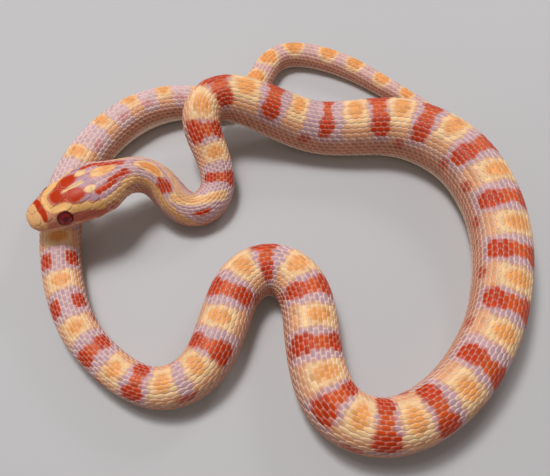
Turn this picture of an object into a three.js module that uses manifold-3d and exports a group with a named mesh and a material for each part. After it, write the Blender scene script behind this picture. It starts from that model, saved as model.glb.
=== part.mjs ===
// A young corn snake lying in an open ring, life size, in millimetres with +Z up.
// The body is one loaf-shaped tube along a route, cut across into lengths.
// The head is lofted from its own profiles, then cut along the mouth and at the eyes.
import * as THREE from 'three';
import Module from 'manifold-3d';

const wasm = await Module();
wasm.setup();

// Body route from the snout to the tail tip: x, y and the height of the belly above the floor.
const WAYPOINTS = [
  [-42.2, -6.6, 7.0], [-37.8, -3.7, 7.1], [-32.8, -0.5, 6.9], [-29.4, 2.1, 6.5], [-26.8, 4.0, 5.8],
  [-24.2, 4.7, 4.6], [-21.4, 3.5, 2.8], [-18.9, 1.2, 1.1], [-16.6, 0.3, 0.2], [-13.9, 1.1, 0],
  [-12.1, 3.8, 0.2], [-11.9, 6.7, 0.9], [-12.5, 9.3, 2.0], [-13.6, 11.9, 3.4], [-14.7, 14.4, 4.8],
  [-15.0, 17.1, 5.8], [-13.7, 19.8, 6.1], [-11.1, 20.9, 5.9], [-8.3, 20.7, 5.2], [-5.2, 20.3, 3.9],
  [-1.3, 19.5, 2.2], [2.8, 18.5, 0.8], [7.3, 17.8, 0], [12.5, 17.7, 0], [17.8, 18.0, 0],
  [22.6, 17.4, 0], [27.9, 14.8, 0], [32.3, 10.6, 0], [35.2, 4.8, 0], [36.6, -1.7, 0],
  [36.6, -8.5, 0], [35.4, -14.9, 0], [33.3, -21.3, 0], [30.1, -26.9, 0], [25.7, -32.2, 0],
  [20.5, -36.1, 0], [16.0, -37.7, 0], [11.9, -37.6, 0], [8.3, -35.9, 0], [5.9, -32.5, 0],
  [4.7, -27.8, 0], [4.1, -22.8, 0], [3.7, -18.0, 0], [2.2, -14.1, 0], [-0.3, -12.0, 0],
  [-3.1, -11.6, 0], [-5.8, -12.7, 0], [-8.0, -15.6, 0], [-9.4, -19.8, 0], [-10.5, -23.8, 0],
  [-12.2, -27.7, 0], [-15.0, -30.6, 0], [-18.7, -31.8, 0], [-23.2, -30.7, 0], [-27.9, -27.4, 0],
  [-32.1, -23.2, 0], [-35.3, -17.6, 0], [-37.6, -10.5, 0], [-38.8, -3.3, 0], [-38.6, 4.5, 0],
  [-36.2, 12.0, 0], [-31.5, 19.3, 0], [-25.5, 23.9, 0], [-19.4, 25.5, 0], [-14.3, 25.4, 0],
  [-9.3, 26.6, 0], [-5.6, 29.8, 0], [-4.0, 33.7, 0], [-2.2, 37.3, 0], [1.1, 39.2, 0],
  [5.7, 38.8, 0], [10.6, 37.1, 0], [15.3, 34.5, 0], [19.9, 31.0, 0], [24.3, 27.9, 0],
  [28.1, 25.2, 0], [32.1, 21.8, 0], [35.9, 17.9, 0], [38.9, 13.9, 0], [41.0, 10.4, 0],
];

// Body radius by distance from the snout.
const GIRTH = [
  [0, 3.2], [14, 3.15], [20, 3.05], [44, 3.05], [48, 3.2], [52, 3.6], [58, 4.15], [64, 4.45],
  [71, 4.65], [81, 4.95], [92, 5.4], [100, 5.5], [111, 5.3], [124, 4.95], [138, 4.6], [151, 4.4],
  [163, 4.25], [180, 4.4], [190, 4.35], [205, 4.2], [215, 4.0], [222, 3.55], [230, 3.05],
  [240, 2.98], [252, 3.2], [265, 3.5], [280, 3.72], [292, 3.68], [300, 3.4], [306, 3.05],
  [312, 2.75], [324, 2.5], [340, 2.32], [352, 1.95], [360, 1.5], [366, 1.05], [372, 0.65], [380, 0.3],
];

// The loaf-shaped cross-section.
const BELLY_DEPTH = 0.88;
const LOAF_POWER = 0.9;
const BELLY_EDGE_ANGLE = 2.58;
const RIB_POINTS = 16;

// Route sampling.
const ROUTE_STEP = 0.8;
const ROUTE_SMOOTHING = 8;
const GIRTH_SMOOTHING = 10;
const FLOOR_SNAP = 0.04;
const STATION_GAP = 2.3;

// Where the body is cut across, as distances from the snout.
const CUT_GAP = 0.3;
const HEAD_END = 17;
const NECK_CUTS = [17, 27.5, 33.5, 40, 50, 56.5];
const TRUNK_CUTS = [
  56.5, 71.5, 88.5, 103.5, 118.5, 133.5, 148.5, 159.5, 170.5, 185.5, 193.5, 201.5, 214.5, 224.5, 241.5,
  259.5, 277.5, 294.5, 315.5,
];
const TAIL_CUTS = [315.5, 325.5, 348.5, 379];

// Head profiles by distance from the snout, measured from the chin line.
const HEAD_HALF_WIDTH = [
  [0, 1.0], [0.5, 1.75], [1.6, 2.62], [3.2, 3.3], [5.3, 3.8], [7.4, 4.15], [9.5, 4.55],
  [11.7, 4.85], [13.3, 4.85], [15.4, 4.3], [17.5, 3.45],
];
const HEAD_TOP = [
  [0, 3.15], [0.5, 3.65], [1.6, 4.25], [3.2, 4.85], [5.3, 5.5], [7.4, 6.1], [9.5, 6.35], [12.5, 6.4],
  [15.4, 6.2], [17.5, 5.95],
];
const HEAD_BOTTOM = [
  [0, 1.9], [0.5, 1.35], [1.6, 0.85], [3.2, 0.45], [5.3, 0.15], [8.4, 0], [14.8, 0], [17.5, 0],
];
const HEAD_STATIONS = [
  0, 0.35, 0.9, 1.7, 2.9, 4.2, 5.6, 7, 8.5, 10, 11.5, 13, 14.5, 15.8, 16.85,
];
const HEAD_POINTS = 28;
const SNOUT_SET_BACK = 0.5;
const SNOUT_REACH = 4;
const HEAD_CORNER_POWER = 0.82;

// The mouth, from the snout to its corner.
const MOUTH_LINE = [
  [-2, 2.1], [0, 2.1], [2.1, 2.0], [5.3, 1.8], [8.5, 1.65], [11.1, 1.8], [12.8, 2.25],
];
const MOUTH_GAP = 0.3;
const JAW_TIP = 0.9;
const MOUTH_BACK_LEAN = 0.6;
const MOUTH_BLOCK_LOW = -3;
const MOUTH_BLOCK_HALF = 8;

// The eyes.
const EYE_RADIUS = 1.45;
const EYE_ALONG = 5.8;
const EYE_HEIGHT = 3.75;
const EYE_INSET = 0.95;
const EYE_FLATNESS = 0.62;
const EYE_TILT = 0.35;
const EYE_FORWARD = 0.12;
const EYE_CLEARANCE = 0.15;
const EYE_SEGMENTS = 18;

// Linear interpolation in a table of [key, value] rows.
function lookUp(table, key) {
  let row = 1;
  while (row < table.length - 1 && key > table[row][0]) {
    row += 1;
  }
  const [k0, v0] = table[row - 1];
  const [k1, v1] = table[row];
  const share = Math.min(Math.max((key - k0) / (k1 - k0), 0), 1);
  return v0 + (v1 - v0) * share;
}

// Evenly spaced points along a polyline.
function resample(points, step) {
  const reach = [0];
  for (let i = 1; i < points.length; i += 1) {
    reach.push(reach[i - 1] + points[i].distanceTo(points[i - 1]));
  }
  const total = reach[reach.length - 1];
  const count = Math.round(total / step);
  const out = [];
  let k = 1;
  for (let i = 0; i <= count; i += 1) {
    const target = (total * i) / count;
    while (k < reach.length - 1 && reach[k] < target) {
      k += 1;
    }
    const share = (target - reach[k - 1]) / (reach[k] - reach[k - 1]);
    out.push(points[k - 1].clone().lerp(points[k], share));
  }
  return { points: out, spacing: total / count };
}

function smoothPoints(points, passes) {
  let now = points;
  for (let pass = 0; pass < passes; pass += 1) {
    const before = now;
    now = before.map((p, i) => {
      if (i === 0 || i === before.length - 1) {
        return p;
      }
      const sides = before[i - 1].clone().add(before[i + 1]);
      return sides.addScaledVector(p, 2).multiplyScalar(0.25);
    });
  }
  return now;
}

function smoothNumbers(values, passes) {
  let now = values;
  for (let pass = 0; pass < passes; pass += 1) {
    const before = now;
    now = before.map((v, i) => {
      if (i === 0 || i === before.length - 1) {
        return v;
      }
      return (before[i - 1] + 2 * v + before[i + 1]) / 4;
    });
  }
  return now;
}

// The route as even samples of belly position and body radius.
function makeRoute() {
  const knots = WAYPOINTS.map((w) => new THREE.Vector3(...w));
  const curve = new THREE.CatmullRomCurve3(knots, false, 'centripetal');
  const dense = curve.getPoints(WAYPOINTS.length * 40);
  const coarse = resample(dense, ROUTE_STEP);
  const even = resample(smoothPoints(coarse.points, ROUTE_SMOOTHING), ROUTE_STEP);
  for (const p of even.points) {
    p.z = p.z < FLOOR_SNAP ? 0 : p.z;
  }
  const radii = even.points.map((p, i) => lookUp(GIRTH, i * even.spacing));
  return { points: even.points, spacing: even.spacing, radii: smoothNumbers(radii, GIRTH_SMOOTHING) };
}

const route = makeRoute();
const routeLength = route.spacing * (route.points.length - 1);

// Belly position, radius and axes of the cross-section at a distance from the snout.
function station(distance) {
  const at = Math.min(Math.max(distance / route.spacing, 0), route.points.length - 1.001);
  const i = Math.floor(at);
  const share = at - i;
  const belly = route.points[i].clone().lerp(route.points[i + 1], share);
  const radius = route.radii[i] + (route.radii[i + 1] - route.radii[i]) * share;
  const before = route.points[Math.max(i - 1, 0)].clone().lerp(route.points[i], share);
  const after = route.points[i + 1].clone();
  after.lerp(route.points[Math.min(i + 2, route.points.length - 1)], share);
  const along = after.sub(before).normalize();
  const side = new THREE.Vector3(0, 0, 1).cross(along).normalize();
  const up = along.clone().cross(side).normalize();
  return { belly, radius, along, side, up };
}

// A closed mesh skinned over rings of points, with a fan at each end.
function skinRings(rings) {
  const positions = [];
  const faces = [];
  const count = rings[0].length;
  for (const ring of rings) {
    for (const p of ring) {
      positions.push(p.x, p.y, p.z);
    }
  }
  for (let r = 0; r < rings.length - 1; r += 1) {
    for (let k = 0; k < count; k += 1) {
      const a = r * count + k;
      const b = r * count + ((k + 1) % count);
      const c = a + count;
      const d = b + count;
      faces.push(a, c, b, b, c, d);
    }
  }
  for (const end of [0, rings.length - 1]) {
    const middle = new THREE.Vector3();
    for (const p of rings[end]) {
      middle.addScaledVector(p, 1 / count);
    }
    const hub = positions.length / 3;
    positions.push(middle.x, middle.y, middle.z);
    for (let k = 0; k < count; k += 1) {
      const a = end * count + k;
      const b = end * count + ((k + 1) % count);
      if (end === 0) {
        faces.push(hub, a, b);
      } else {
        faces.push(hub, b, a);
      }
    }
  }
  return { positions, faces };
}

// One ring of the loaf-shaped body section.
function bodyRing(distance) {
  const at = station(distance);
  const ring = [];
  for (let k = 0; k < RIB_POINTS; k += 1) {
    const turn = -BELLY_EDGE_ANGLE + (2 * BELLY_EDGE_ANGLE * k) / (RIB_POINTS - 1);
    const sine = Math.sin(turn);
    const cosine = Math.cos(turn);
    const across = at.radius * Math.sign(sine) * Math.abs(sine) ** LOAF_POWER;
    const rise = at.radius * Math.sign(cosine) * Math.abs(cosine) ** LOAF_POWER;
    const height = Math.max(rise, -BELLY_DEPTH * at.radius) + BELLY_DEPTH * at.radius;
    const edge = k === 0 || k === RIB_POINTS - 1;
    const p = at.belly.clone().addScaledVector(at.side, -across);
    p.addScaledVector(at.up, edge ? 0 : height);
    ring.push(p);
  }
  return ring;
}

function bodyLength(from, to) {
  const start = from + CUT_GAP / 2;
  const end = to - CUT_GAP / 2;
  const steps = Math.max(2, Math.round((end - start) / STATION_GAP));
  const rings = [];
  for (let i = 0; i <= steps; i += 1) {
    rings.push(bodyRing(start + ((end - start) * i) / steps));
  }
  return skinRings(rings);
}

// The head keeps one straight frame that ends where the neck begins.
const headFrame = (() => {
  const back = station(HEAD_END).belly;
  const along = back.clone().sub(station(0).belly).normalize();
  const front = back.clone().addScaledVector(along, -HEAD_END);
  const side = new THREE.Vector3(0, 0, 1).cross(along).normalize();
  const up = along.clone().cross(side).normalize();
  return { front, along, side, up };
})();

function headPoint(alongHead, across, height) {
  const p = headFrame.front.clone().addScaledVector(headFrame.along, alongHead);
  return p.addScaledVector(headFrame.side, across).addScaledVector(headFrame.up, height);
}

function headRing(distance) {
  const half = lookUp(HEAD_HALF_WIDTH, distance);
  const top = lookUp(HEAD_TOP, distance);
  const bottom = lookUp(HEAD_BOTTOM, distance);
  const middle = bottom + (top - bottom) * 0.45;
  const setBack = SNOUT_SET_BACK * Math.max(0, 1 - distance / SNOUT_REACH);
  const ring = [];
  for (let k = 0; k < HEAD_POINTS; k += 1) {
    const turn = -Math.PI + (2 * Math.PI * (k + 0.5)) / HEAD_POINTS;
    const sine = Math.sin(turn);
    const cosine = Math.cos(turn);
    const across = half * Math.sign(sine) * Math.abs(sine) ** HEAD_CORNER_POWER;
    const reach = cosine > 0 ? top - middle : middle - bottom;
    const rise = reach * Math.sign(cosine) * Math.abs(cosine) ** HEAD_CORNER_POWER;
    ring.push(headPoint(distance + setBack, -across, middle + rise));
  }
  return ring;
}

function toSolid(shell) {
  return new wasm.Manifold(new wasm.Mesh({
    numProp: 3,
    vertProperties: new Float32Array(shell.positions),
    triVerts: new Uint32Array(shell.faces),
  }));
}

function fromSolid(solid) {
  const mesh = solid.getMesh();
  return { positions: Array.from(mesh.vertProperties), faces: Array.from(mesh.triVerts) };
}

// A block standing across the head whose outline is the mouth line and the space under it.
function mouthBlock(shift, startAlong, cornerShift) {
  const inside = MOUTH_LINE.filter(([a]) => a > startAlong);
  const line = [[startAlong, lookUp(MOUTH_LINE, startAlong)], ...inside];
  const outline = line.map(([a, h]) => [a, h + shift]);
  const [cornerAlong, cornerHeight] = outline.pop();
  outline.push([cornerAlong + cornerShift, cornerHeight]);
  outline.push([cornerAlong + cornerShift + MOUTH_BACK_LEAN, MOUTH_BLOCK_LOW]);
  outline.push([startAlong, MOUTH_BLOCK_LOW]);
  const positions = [];
  const faces = [];
  const count = outline.length;
  for (const across of [-MOUTH_BLOCK_HALF, MOUTH_BLOCK_HALF]) {
    for (const [a, h] of outline) {
      const p = headPoint(a, across, h);
      positions.push(p.x, p.y, p.z);
    }
  }
  const flat = THREE.ShapeUtils.triangulateShape(outline.map(([a, h]) => new THREE.Vector2(a, h)), []);
  for (const triangle of flat) {
    const [a, b, c] = triangle.map((k) => outline[k]);
    const turn = (b[0] - a[0]) * (c[1] - a[1]) - (b[1] - a[1]) * (c[0] - a[0]);
    const [i, j, k] = turn < 0 ? triangle : [triangle[0], triangle[2], triangle[1]];
    faces.push(i, j, k, i + count, k + count, j + count);
  }
  for (let k = 0; k < count; k += 1) {
    const n = (k + 1) % count;
    faces.push(k, k + count, n, n, k + count, n + count);
  }
  return outward({ positions, faces });
}

function sphereShell(centre, radius) {
  const rings = [];
  const bands = EYE_SEGMENTS / 2;
  for (let i = 1; i < bands; i += 1) {
    const polar = (Math.PI * i) / bands;
    const ring = [];
    for (let k = 0; k < EYE_SEGMENTS; k += 1) {
      const turn = (2 * Math.PI * k) / EYE_SEGMENTS;
      ring.push(new THREE.Vector3(
        centre.x + radius * Math.sin(polar) * Math.cos(turn),
        centre.y + radius * Math.sin(polar) * Math.sin(turn),
        centre.z - radius * Math.cos(polar),
      ));
    }
    rings.push(ring);
  }
  const shell = skinRings(rings);
  const tips = shell.positions.length / 3 - 2;
  shell.positions[tips * 3 + 2] = centre.z - radius;
  shell.positions[(tips + 1) * 3 + 2] = centre.z + radius;
  const flipped = [];
  for (let i = 0; i < shell.faces.length; i += 3) {
    flipped.push(shell.faces[i], shell.faces[i + 2], shell.faces[i + 1]);
  }
  return { positions: shell.positions, faces: flipped };
}

// An eye is flattened along its own axis, which looks outwards, a little up and forward.
function eyeShell(centre, radius, hand) {
  const shell = sphereShell(centre, radius);
  const axis = headFrame.side.clone().multiplyScalar(hand);
  axis.addScaledVector(headFrame.up, EYE_TILT).addScaledVector(headFrame.along, -EYE_FORWARD);
  axis.normalize();
  const p = new THREE.Vector3();
  for (let i = 0; i < shell.positions.length; i += 3) {
    p.fromArray(shell.positions, i).sub(centre);
    p.addScaledVector(axis, (EYE_FLATNESS - 1) * p.dot(axis)).add(centre);
    p.toArray(shell.positions, i);
  }
  return shell;
}

function volumeOf(shell) {
  let sum = 0;
  const p = shell.positions;
  for (let i = 0; i < shell.faces.length; i += 3) {
    const [a, b, c] = [shell.faces[i] * 3, shell.faces[i + 1] * 3, shell.faces[i + 2] * 3];
    sum += p[a] * (p[b + 1] * p[c + 2] - p[b + 2] * p[c + 1]);
    sum += p[a + 1] * (p[b + 2] * p[c] - p[b] * p[c + 2]);
    sum += p[a + 2] * (p[b] * p[c + 1] - p[b + 1] * p[c]);
  }
  return sum / 6;
}

// The same shell with its faces turned outward.
function outward(shell) {
  if (volumeOf(shell) > 0) {
    return shell;
  }
  const faces = [];
  for (let i = 0; i < shell.faces.length; i += 3) {
    faces.push(shell.faces[i], shell.faces[i + 2], shell.faces[i + 1]);
  }
  return { positions: shell.positions, faces };
}

const model = new THREE.Group();
model.name = 'corn_snake';

function addNode(name, shell, colour) {
  const geometry = new THREE.BufferGeometry();
  geometry.setAttribute('position', new THREE.Float32BufferAttribute(shell.positions, 3));
  geometry.setIndex(shell.faces);
  const mesh = new THREE.Mesh(geometry, new THREE.MeshStandardMaterial({ color: colour }));
  mesh.name = name;
  model.add(mesh);
}

const SKIN_COLOUR = 0xe8a58c;
const JAW_COLOUR = 0xf1d5c4;
const EYE_COLOUR = 0x7a1020;

// Head, jaw and eyes.
const wholeHead = toSolid(outward(skinRings(HEAD_STATIONS.map((d) => headRing(d)))));
const jawSpace = toSolid(mouthBlock(MOUTH_GAP / 2, -2, MOUTH_GAP / 2));
const jawBlock = toSolid(mouthBlock(-MOUTH_GAP / 2, JAW_TIP, -MOUTH_GAP / 2));
let upperHead = wholeHead.subtract(jawSpace);
const lowerJaw = wholeHead.intersect(jawBlock);
const eyeAcross = lookUp(HEAD_HALF_WIDTH, EYE_ALONG) - EYE_INSET;
for (const [name, hand] of [['eye_left', -1], ['eye_right', 1]]) {
  const centre = headPoint(EYE_ALONG, hand * eyeAcross, EYE_HEIGHT);
  const socket = toSolid(outward(eyeShell(centre, EYE_RADIUS + EYE_CLEARANCE, hand)));
  upperHead = upperHead.subtract(socket);
  addNode(name, outward(eyeShell(centre, EYE_RADIUS, hand)), EYE_COLOUR);
}
addNode('head', fromSolid(upperHead), SKIN_COLOUR);
addNode('lower_jaw', fromSolid(lowerJaw), JAW_COLOUR);

// Neck, trunk and tail.
const LENGTHS = [['neck', NECK_CUTS], ['trunk', TRUNK_CUTS], ['tail', TAIL_CUTS]];
for (const [part, cuts] of LENGTHS) {
  for (let i = 0; i < cuts.length - 1; i += 1) {
    const shell = outward(bodyLength(cuts[i], Math.min(cuts[i + 1], routeLength)));
    addNode(`${part}_${i + 1}`, shell, SKIN_COLOUR);
  }
}

// The part's origin is the middle of its footprint.
const bounds = new THREE.Box3().setFromObject(model);
const middle = bounds.getCenter(new THREE.Vector3());
for (const mesh of model.children) {
  mesh.geometry.translate(-middle.x, -middle.y, 0);
}

export default model;
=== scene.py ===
import math

import bpy
import mathutils
import numpy as np
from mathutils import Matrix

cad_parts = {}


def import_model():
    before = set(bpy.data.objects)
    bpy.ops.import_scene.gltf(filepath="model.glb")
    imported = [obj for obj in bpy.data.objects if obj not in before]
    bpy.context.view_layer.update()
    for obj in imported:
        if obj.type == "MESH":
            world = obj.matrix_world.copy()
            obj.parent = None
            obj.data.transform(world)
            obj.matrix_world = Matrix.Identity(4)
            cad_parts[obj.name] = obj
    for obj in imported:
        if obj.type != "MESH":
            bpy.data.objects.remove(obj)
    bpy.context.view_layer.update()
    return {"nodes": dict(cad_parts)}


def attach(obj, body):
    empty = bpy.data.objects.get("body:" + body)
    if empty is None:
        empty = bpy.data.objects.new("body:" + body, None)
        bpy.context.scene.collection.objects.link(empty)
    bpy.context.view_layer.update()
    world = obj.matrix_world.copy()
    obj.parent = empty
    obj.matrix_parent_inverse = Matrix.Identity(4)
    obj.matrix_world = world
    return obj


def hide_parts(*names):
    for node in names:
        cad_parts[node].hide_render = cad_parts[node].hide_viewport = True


MM = 0.001

# Body route from the snout to the tail tip, in millimetres: x, y and belly height.
WAYPOINTS = np.array([
    [-42.2, -6.6, 7.0], [-37.8, -3.7, 7.1], [-32.8, -0.5, 6.9], [-29.4, 2.1, 6.5],
    [-26.8, 4.0, 5.8], [-24.2, 4.7, 4.6], [-21.4, 3.5, 2.8], [-18.9, 1.2, 1.1],
    [-16.6, 0.3, 0.2], [-13.9, 1.1, 0], [-12.1, 3.8, 0.2], [-11.9, 6.7, 0.9],
    [-12.5, 9.3, 2.0], [-13.6, 11.9, 3.4], [-14.7, 14.4, 4.8], [-15.0, 17.1, 5.8],
    [-13.7, 19.8, 6.1], [-11.1, 20.9, 5.9], [-8.3, 20.7, 5.2], [-5.2, 20.3, 3.9],
    [-1.3, 19.5, 2.2], [2.8, 18.5, 0.8], [7.3, 17.8, 0], [12.5, 17.7, 0],
    [17.8, 18.0, 0], [22.6, 17.4, 0], [27.9, 14.8, 0], [32.3, 10.6, 0],
    [35.2, 4.8, 0], [36.6, -1.7, 0], [36.6, -8.5, 0], [35.4, -14.9, 0],
    [33.3, -21.3, 0], [30.1, -26.9, 0], [25.7, -32.2, 0], [20.5, -36.1, 0],
    [16.0, -37.7, 0], [11.9, -37.6, 0], [8.3, -35.9, 0], [5.9, -32.5, 0],
    [4.7, -27.8, 0], [4.1, -22.8, 0], [3.7, -18.0, 0], [2.2, -14.1, 0],
    [-0.3, -12.0, 0], [-3.1, -11.6, 0], [-5.8, -12.7, 0], [-8.0, -15.6, 0],
    [-9.4, -19.8, 0], [-10.5, -23.8, 0], [-12.2, -27.7, 0], [-15.0, -30.6, 0],
    [-18.7, -31.8, 0], [-23.2, -30.7, 0], [-27.9, -27.4, 0], [-32.1, -23.2, 0],
    [-35.3, -17.6, 0], [-37.6, -10.5, 0], [-38.8, -3.3, 0], [-38.6, 4.5, 0],
    [-36.2, 12.0, 0], [-31.5, 19.3, 0], [-25.5, 23.9, 0], [-19.4, 25.5, 0],
    [-14.3, 25.4, 0], [-9.3, 26.6, 0], [-5.6, 29.8, 0], [-4.0, 33.7, 0],
    [-2.2, 37.3, 0], [1.1, 39.2, 0], [5.7, 38.8, 0], [10.6, 37.1, 0],
    [15.3, 34.5, 0], [19.9, 31.0, 0], [24.3, 27.9, 0], [28.1, 25.2, 0],
    [32.1, 21.8, 0], [35.9, 17.9, 0], [38.9, 13.9, 0], [41.0, 10.4, 0],
])
FOOTPRINT_MIDDLE = np.array([-0.3263, -0.2182, 0.0])

# Body radius by distance from the snout.
GIRTH = np.array([
    [0, 3.2], [14, 3.15], [20, 3.05], [44, 3.05], [48, 3.2], [52, 3.6], [58, 4.15],
    [64, 4.45], [71, 4.65], [81, 4.95], [92, 5.4], [100, 5.5], [111, 5.3], [124, 4.95],
    [138, 4.6], [151, 4.4], [163, 4.25], [180, 4.4], [190, 4.35], [205, 4.2],
    [215, 4.0], [222, 3.55], [230, 3.05], [240, 2.98], [252, 3.2], [265, 3.5],
    [280, 3.72], [292, 3.68], [300, 3.4], [306, 3.05], [312, 2.75], [324, 2.5],
    [340, 2.32], [352, 1.95], [360, 1.5], [366, 1.05], [372, 0.65], [380, 0.3],
])
BELLY_DEPTH = 0.88
LOAF_POWER = 0.9
BELLY_EDGE_ANGLE = 2.58
ROUTE_STEP = 0.8
ROUTE_SMOOTHING = 8
GIRTH_SMOOTHING = 10
FLOOR_SNAP = 0.04
COAT_DEPTH = 0.13

# How far the line of the back leans round the body, in degrees, by distance from the snout.
BACK_LEAN = np.array([
    [0, 0], [16, -4], [22, -12], [27, -22], [34, -26], [39, -20], [45, -6], [52, -10],
    [58, 0], [68, 4], [82, 5], [95, 6], [104, 12], [116, 16], [130, 20], [148, 20],
    [158, 12], [166, 4], [174, -5], [185, -16], [192, -14], [201, -8], [211, -4],
    [220, 0], [233, 10], [243, 4], [258, -8], [268, -2], [277, 5], [285, 16],
    [293, 24], [303, 20], [314, 6], [330, 6], [378, 0],
])

# Head profiles: distance from the snout, then the value, above the chin line.
HEAD_LENGTH = 17.0
HEAD_HALF_WIDTH = np.array([
    [0, 0], [0.05, 0.5], [0.2, 1.0], [0.5, 1.58], [1.05, 2.12], [1.6, 2.5], [3.2, 3.2],
    [5.3, 3.7], [7.4, 4.05], [9.5, 4.45], [11.7, 4.75], [13.3, 4.75], [15.4, 4.2], [17.5, 3.35],
    [21, 3.0],
])
HEAD_TOP = np.array([
    [0, 2.55], [0.05, 2.86], [0.2, 3.18], [0.5, 3.54], [1.05, 3.88], [1.6, 4.14], [3.2, 4.74],
    [5.3, 5.4], [7.4, 6.0], [9.5, 6.25], [12.5, 6.3], [15.4, 6.1], [17.5, 5.82], [21, 5.6],
])
HEAD_BOTTOM = np.array([
    [0, 2.55], [0.05, 2.24], [0.2, 1.94], [0.5, 1.52], [1.05, 1.18], [1.6, 0.95],
    [3.2, 0.56], [5.3, 0.28], [8.4, 0.12], [14.8, 0.12], [17.5, 0.12], [21, 0.12],
])
MOUTH_LINE = np.array([
    [0, 2.1], [2.1, 2.0], [5.3, 1.8], [8.5, 1.65], [11.1, 1.8], [12.8, 2.25], [14.8, 2.5],
    [21, 2.5],
])
HEAD_CORNER_POWER = 0.82
HEAD_MIDDLE_SHARE = 0.45
HEAD_COAT_DEPTH = 0.1
BLEND_START = 13.5
BLEND_END = 19.5

# Eyes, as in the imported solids.
EYE_ALONG = 5.8
EYE_HEIGHT = 3.75
EYE_INSET = 0.95
EYE_RADIUS = 1.45
EYE_FLATNESS = 0.62
EYE_TILT = 0.35
EYE_FORWARD = 0.12
EYE_OPENING = 1.26
EYE_OPENING_AT = 5.7

# The front of the snout is set back along the head by this much, fading out by the reach.
SNOUT_SET_BACK = 0.5
SNOUT_REACH = 4.0


def smoothstep(low, high, value):
    share = np.clip((value - low) / (high - low), 0.0, 1.0)
    return share * share * (3 - 2 * share)


def look_up(table, key):
    """Straight-line interpolation in a table of key and value rows."""
    return np.interp(key, table[:, 0], table[:, 1])


def hermite(table, key, warp=None):
    """Smooth interpolation of a table that doesn't overshoot its values."""
    x = table[:, 0].astype(float)
    q = np.asarray(key, dtype=float)
    if warp is not None:
        x = warp(x)
        q = warp(q)
    y = table[:, 1].astype(float)
    gaps = np.diff(x)
    slopes = np.diff(y) / gaps
    tangents = np.zeros(len(x))
    for i in range(1, len(x) - 1):
        if slopes[i - 1] * slopes[i] > 0:
            w1 = 2 * gaps[i] + gaps[i - 1]
            w2 = gaps[i] + 2 * gaps[i - 1]
            tangents[i] = (w1 + w2) / (w1 / slopes[i - 1] + w2 / slopes[i])
    tangents[0] = slopes[0]
    tangents[-1] = slopes[-1]
    q = np.clip(q, x[0], x[-1])
    i = np.clip(np.searchsorted(x, q) - 1, 0, len(x) - 2)
    h = gaps[i]
    t = (q - x[i]) / h
    part_a = (1 + 2 * t) * (1 - t) ** 2 * y[i] + t * (1 - t) ** 2 * h * tangents[i]
    part_b = t * t * (3 - 2 * t) * y[i + 1] - t * t * (1 - t) * h * tangents[i + 1]
    return part_a + part_b


def catmull_rom(points, per_segment):
    padded = np.vstack([2 * points[0] - points[1], points, 2 * points[-1] - points[-2]])
    out = []
    for i in range(1, len(padded) - 2):
        p0, p1, p2, p3 = padded[i - 1:i + 3]
        t1 = math.sqrt(np.linalg.norm(p1 - p0))
        t2 = t1 + math.sqrt(np.linalg.norm(p2 - p1))
        t3 = t2 + math.sqrt(np.linalg.norm(p3 - p2))
        t = (t1 + (t2 - t1) * np.arange(per_segment) / per_segment)[:, None]
        a1 = (t1 - t) / t1 * p0 + t / t1 * p1
        a2 = (t2 - t) / (t2 - t1) * p1 + (t - t1) / (t2 - t1) * p2
        a3 = (t3 - t) / (t3 - t2) * p2 + (t - t2) / (t3 - t2) * p3
        b1 = (t2 - t) / t2 * a1 + t / t2 * a2
        b2 = (t3 - t) / (t3 - t1) * a2 + (t - t1) / (t3 - t1) * a3
        out.append((t2 - t) / (t2 - t1) * b1 + (t - t1) / (t2 - t1) * b2)
    out.append(points[-1:])
    return np.vstack(out)


def resample(points, step):
    steps = np.linalg.norm(np.diff(points, axis=0), axis=1)
    reach = np.concatenate([[0], np.cumsum(steps)])
    count = int(round(reach[-1] / step))
    targets = np.linspace(0, reach[-1], count + 1)
    columns = [np.interp(targets, reach, points[:, k]) for k in range(points.shape[1])]
    return np.stack(columns, axis=1), reach[-1] / count


def smoothed(values, passes):
    now = values.astype(float).copy()
    for _ in range(passes):
        now[1:-1] = (now[:-2] + 2 * now[1:-1] + now[2:]) / 4
    return now


# The route, its radii and its axes, evenly sampled.
coarse, _ = resample(catmull_rom(WAYPOINTS, 40), ROUTE_STEP)
ROUTE, SPACING = resample(smoothed(coarse, ROUTE_SMOOTHING), ROUTE_STEP)
ROUTE[ROUTE[:, 2] < FLOOR_SNAP, 2] = 0
REACH = np.arange(len(ROUTE)) * SPACING
BODY_LENGTH = REACH[-1]
RADII = smoothed(look_up(GIRTH, REACH), GIRTH_SMOOTHING)
ALONG = np.gradient(ROUTE, axis=0)
ALONG /= np.linalg.norm(ALONG, axis=1)[:, None]
ROUTE = ROUTE - FOOTPRINT_MIDDLE


def unit(vectors):
    return vectors / np.maximum(np.linalg.norm(vectors, axis=-1, keepdims=True), 1e-12)


def route_at(distance):
    """Belly point, radius and axes at distances from the snout."""
    d = np.clip(distance, 0, BODY_LENGTH)
    belly = np.stack([np.interp(d, REACH, ROUTE[:, k]) for k in range(3)], axis=-1)
    along = unit(np.stack([np.interp(d, REACH, ALONG[:, k]) for k in range(3)], axis=-1))
    side = unit(np.cross(np.array([0.0, 0.0, 1.0]), along))
    up = np.cross(along, side)
    return belly, np.interp(d, REACH, RADII), along, side, up


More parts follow.
